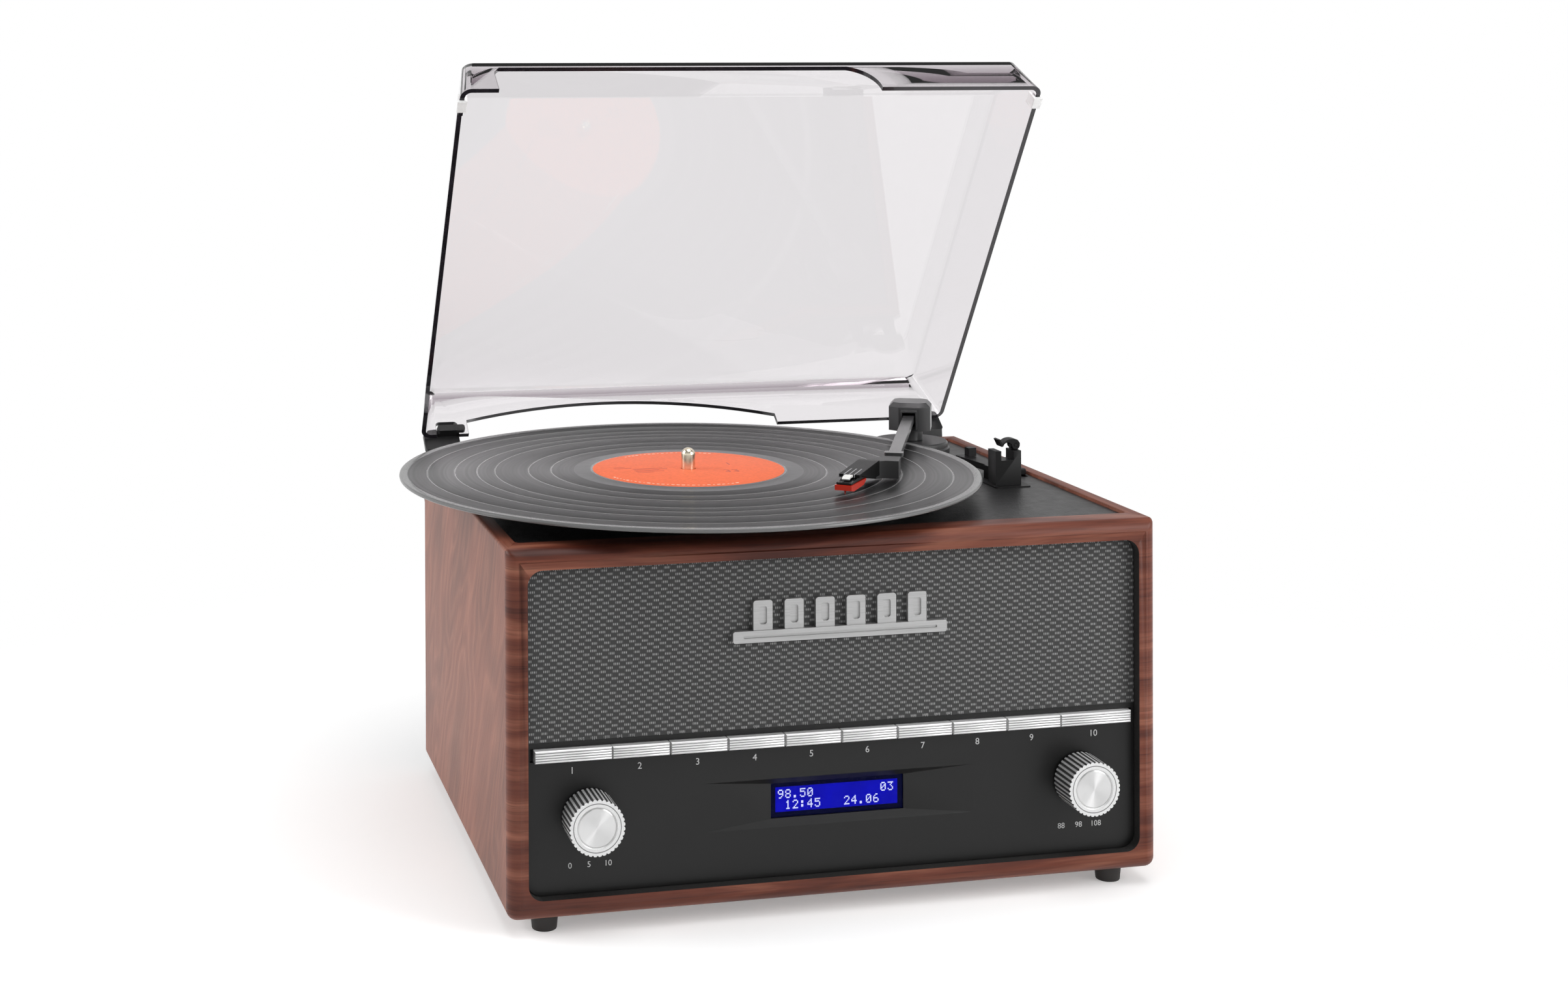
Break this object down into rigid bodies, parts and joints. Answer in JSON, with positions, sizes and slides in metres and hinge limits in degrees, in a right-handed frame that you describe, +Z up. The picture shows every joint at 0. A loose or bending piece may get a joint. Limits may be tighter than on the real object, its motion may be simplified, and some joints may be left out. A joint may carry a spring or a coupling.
{
  "type": "stereo music centre",
  "caption": "Wooden table-top music centre with a record player under a hinged clear lid, push-buttons, a display, control knobs and loudspeakers behind a cloth grille.",
  "frame": {"origin": "centre of the cabinet's flat underside, above the feet", "axes": "+Z up, -Y towards the front, +X to the right as seen from the front"},
  "size_m": [0.3518, 0.3228, 0.401],
  "materials": {
    "mahogany_wood": "reddish-brown mahogany veneer, satin lacquer",
    "dark_board": "black-painted fibreboard",
    "black_plastic": "moulded, fine satin",
    "deck_plastic": "leather-grained moulding",
    "panel_plastic": "satin black",
    "grey_plastic": "moulded, slightly glossy",
    "silver_plastic": "brushed silver",
    "badge_silver": "satin silver",
    "grille_fabric": "woven dark-grey cloth",
    "rubber": "matt black",
    "steel": "zinc-plated",
    "spindle_metal": "polished",
    "vinyl_black": "grooved vinyl",
    "label_paper": "orange paper",
    "felt": "pressed felt",
    "smoked_clear": "clear smoked acrylic",
    "white_plastic": "white",
    "red_plastic": "translucent red",
    "lcd_blue": "blue display glass",
    "window_clear": "clear",
    "circuit_green": "solder mask",
    "copper_core": "laminated core"
  },
  "bodies": {
    "root": {"cabinet_shell": "mahogany_wood", "back_panel": "dark_board", "rear_screws": "steel", "feet": "rubber", "power_inlet": "black_plastic", "line_sockets": "black_plastic", "front_panel": "panel_plastic", "display_window": "window_clear", "display_module": "lcd_blue", "control_board": "circuit_green", "grille_cloth": "grille_fabric", "speaker_baffle": "dark_board", "speaker_left": "steel", "speaker_right": "steel", "badge": "badge_silver", "volume_encoder": "steel", "tune_encoder": "steel", "deck_plate": "deck_plastic", "bearing_bush": "steel", "motor": "steel", "drive_belt": "rubber", "tonearm_base": "black_plastic", "arm_rest": "black_plastic", "hinge_bases": "black_plastic", "main_board": "circuit_green", "transformer": "copper_core"},
    "platter": {"platter": "black_plastic", "slipmat": "felt", "record": "vinyl_black", "record_label": "label_paper", "spindle": "spindle_metal"},
    "pulley": {"motor_pulley": "grey_plastic"},
    "arm_carrier": {"arm_housing": "grey_plastic", "arm_pin": "steel"},
    "tonearm": {"arm_tube": "grey_plastic", "arm_coupling": "black_plastic", "headshell": "black_plastic", "finger_lift": "white_plastic", "cartridge": "black_plastic", "stylus": "red_plastic"},
    "rest_hook": {"rest_hook": "black_plastic"},
    "cue_lever": {"cue_lever": "black_plastic"},
    "speed_knob": {"speed_knob": "black_plastic"},
    "autostop_knob": {"autostop_knob": "black_plastic"},
    "lid": {"lid_shell": "smoked_clear", "lid_bumpers": "white_plastic", "lid_arms": "black_plastic"},
    "volume_knob": {"volume_knob": "silver_plastic"},
    "tune_shaft": {"tune_shaft": "steel"},
    "tune_knob": {"tune_knob": "silver_plastic"},
    "button_01": {"button_01": "silver_plastic"},
    "button_02": {"button_02": "silver_plastic"},
    "button_03": {"button_03": "silver_plastic"},
    "button_04": {"button_04": "silver_plastic"},
    "button_05": {"button_05": "silver_plastic"},
    "button_06": {"button_06": "silver_plastic"},
    "button_07": {"button_07": "silver_plastic"},
    "button_08": {"button_08": "silver_plastic"},
    "button_09": {"button_09": "silver_plastic"},
    "button_10": {"button_10": "silver_plastic"}
  },
  "joints": [
    {"name": "lid_hinge", "type": "hinge", "parent": "root", "child": "lid", "pos_m": [0, 0.1395, 0.1562], "axis": [-1, 0, 0], "range_deg": [-54.7, 0]},
    {"name": "platter_spin", "type": "hinge", "parent": "root", "child": "platter", "pos_m": [-0.04, 0.001, 0.17], "axis": [0, 0, 1], "continuous": true},
    {"name": "pulley_spin", "type": "hinge", "parent": "root", "child": "pulley", "pos_m": [-0.09975, 0.05114, 0.17], "axis": [0, 0, 1], "continuous": true},
    {"name": "arm_swing", "type": "hinge", "parent": "root", "child": "arm_carrier", "pos_m": [0.1198, 0.094, 0.188], "axis": [0, 0, -1], "range_deg": [-23.5, 15]},
    {"name": "arm_lift", "type": "hinge", "parent": "arm_carrier", "child": "tonearm", "pos_m": [0.1198, 0.094, 0.188], "axis": [-0.907, 0.421, 0], "range_deg": [0, 5]},
    {"name": "rest_hook_swing", "type": "hinge", "parent": "root", "child": "rest_hook", "pos_m": [0.13405, -0.017, 0.1896], "axis": [0, 1, 0], "range_deg": [0, 80]},
    {"name": "cue_lever_lift", "type": "hinge", "parent": "root", "child": "cue_lever", "pos_m": [0.13029, -0.00203, 0.1743], "axis": [0.9907, 0.1357, 0], "range_deg": [0, 25]},
    {"name": "speed_slide", "type": "slide", "parent": "root", "child": "speed_knob", "axis": [0, -1, 0], "range_m": [0, 0.01]},
    {"name": "autostop_slide", "type": "slide", "parent": "root", "child": "autostop_knob", "axis": [0, -1, 0], "range_m": [0, 0.006]},
    {"name": "volume_turn", "type": "hinge", "parent": "root", "child": "volume_knob", "pos_m": [-0.1216, -0.12, 0.0452], "axis": [0, -1, 0], "continuous": true},
    {"name": "tune_push", "type": "slide", "parent": "root", "child": "tune_shaft", "axis": [0, 1, 0], "range_m": [0, 0.0006], "stiffness_N_per_m": 600},
    {"name": "tune_turn", "type": "hinge", "parent": "tune_shaft", "child": "tune_knob", "pos_m": [0.1216, -0.12, 0.0452], "axis": [0, -1, 0], "continuous": true},
    {"name": "button_01_push", "type": "slide", "parent": "root", "child": "button_01", "axis": [0, 1, 0], "range_m": [0, 0.001], "stiffness_N_per_m": 300},
    {"name": "button_02_push", "type": "slide", "parent": "root", "child": "button_02", "axis": [0, 1, 0], "range_m": [0, 0.001], "stiffness_N_per_m": 300},
    {"name": "button_03_push", "type": "slide", "parent": "root", "child": "button_03", "axis": [0, 1, 0], "range_m": [0, 0.001], "stiffness_N_per_m": 300},
    {"name": "button_04_push", "type": "slide", "parent": "root", "child": "button_04", "axis": [0, 1, 0], "range_m": [0, 0.001], "stiffness_N_per_m": 300},
    {"name": "button_05_push", "type": "slide", "parent": "root", "child": "button_05", "axis": [0, 1, 0], "range_m": [0, 0.001], "stiffness_N_per_m": 300},
    {"name": "button_06_push", "type": "slide", "parent": "root", "child": "button_06", "axis": [0, 1, 0], "range_m": [0, 0.001], "stiffness_N_per_m": 300},
    {"name": "button_07_push", "type": "slide", "parent": "root", "child": "button_07", "axis": [0, 1, 0], "range_m": [0, 0.001], "stiffness_N_per_m": 300},
    {"name": "button_08_push", "type": "slide", "parent": "root", "child": "button_08", "axis": [0, 1, 0], "range_m": [0, 0.001], "stiffness_N_per_m": 300},
    {"name": "button_09_push", "type": "slide", "parent": "root", "child": "button_09", "axis": [0, 1, 0], "range_m": [0, 0.001], "stiffness_N_per_m": 300},
    {"name": "button_10_push", "type": "slide", "parent": "root", "child": "button_10", "axis": [0, 1, 0], "range_m": [0, 0.001], "stiffness_N_per_m": 300}
  ],
  "couplings": [
    {"joint": "pulley_spin", "follows": "platter_spin", "ratio": 12}
  ]
}
